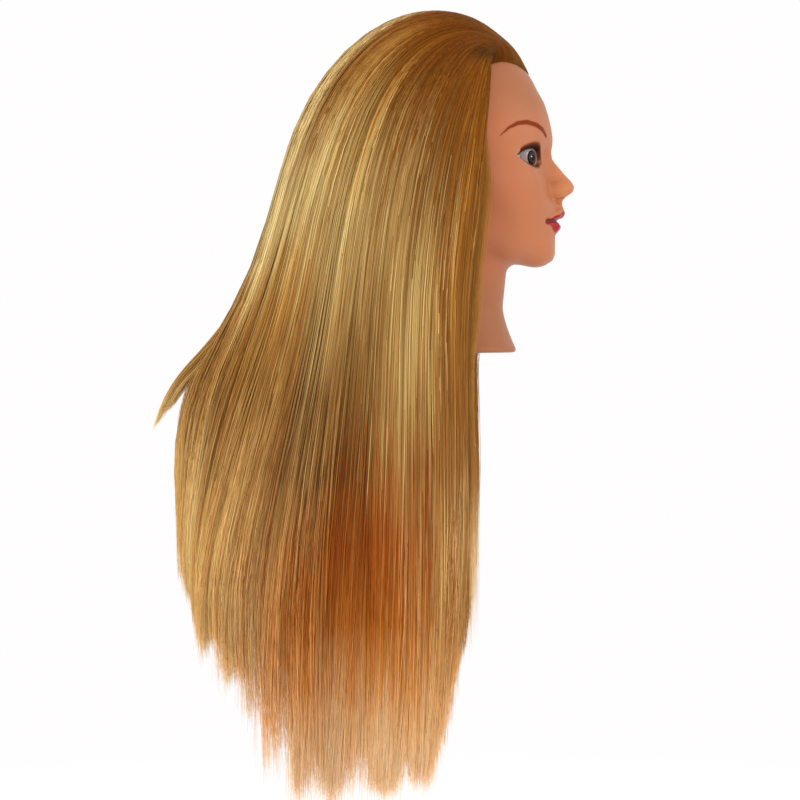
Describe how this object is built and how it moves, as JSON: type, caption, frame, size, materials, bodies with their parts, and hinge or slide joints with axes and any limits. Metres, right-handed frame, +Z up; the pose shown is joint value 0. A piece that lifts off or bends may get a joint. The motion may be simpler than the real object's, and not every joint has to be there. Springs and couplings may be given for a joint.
{
  "type": "mannequin training head",
  "caption": "Soft vinyl practice head and neck with long straight rooted hair in swinging sections, inset eyes, and a clamp socket in the base of the neck, for hairdressing training",
  "frame": {"origin": "centre of the clamp socket's mouth, in the flat face of the neck's base", "axes": "+Z up through the neck to the crown, -Y the way the face looks, +X the head's left"},
  "size_m": [0.1916, 0.3681, 0.6899],
  "materials": {
    "vinyl_skin": "matte tan skin-coloured soft vinyl",
    "scalp_skin": "matte rooted scalp vinyl",
    "foam": "off-white rigid foam",
    "socket_plastic": "black moulded plastic",
    "plate_plastic": "skin-coloured moulded plastic",
    "eye_white": "gloss white acrylic",
    "iris": "gloss grey-brown printed disc",
    "clear_lens": "clear gloss lens",
    "hair_root": "satin brown-blonde fibre",
    "hair": "satin golden blonde fibre",
    "hair_tip": "satin pale blonde fibre"
  },
  "bodies": {
    "head": {"head_shell": "vinyl_skin", "scalp_cap": "scalp_skin", "foam_core": "foam", "clamp_socket": "socket_plastic", "neck_base_plate": "plate_plastic", "eye_white_right": "eye_white", "eye_white_left": "eye_white", "iris_right": "iris", "iris_left": "iris", "cornea_right": "clear_lens", "cornea_left": "clear_lens", "hair_front_right": "hair_root", "hair_front_left": "hair_root", "hair_crown_right": "hair", "hair_crown_left": "hair", "hair_nape": "hair_root"},
    "side_right": {"hair_side_right": "hair"},
    "side_left": {"hair_side_left": "hair"},
    "back": {"hair_back": "hair", "hair_flick": "hair_tip"}
  },
  "joints": [
    {"name": "swing_side_right", "type": "hinge", "parent": "head", "child": "side_right", "pos_m": [-0.073, 0.03, 0.11], "axis": [0, 1, 0], "range_deg": [0, 35]},
    {"name": "swing_side_left", "type": "hinge", "parent": "head", "child": "side_left", "pos_m": [0.073, 0.03, 0.11], "axis": [0, -1, 0], "range_deg": [0, 35]},
    {"name": "swing_back", "type": "hinge", "parent": "head", "child": "back", "pos_m": [0, 0.137, 0.11], "axis": [1, 0, 0], "range_deg": [0, 35]}
  ]
}
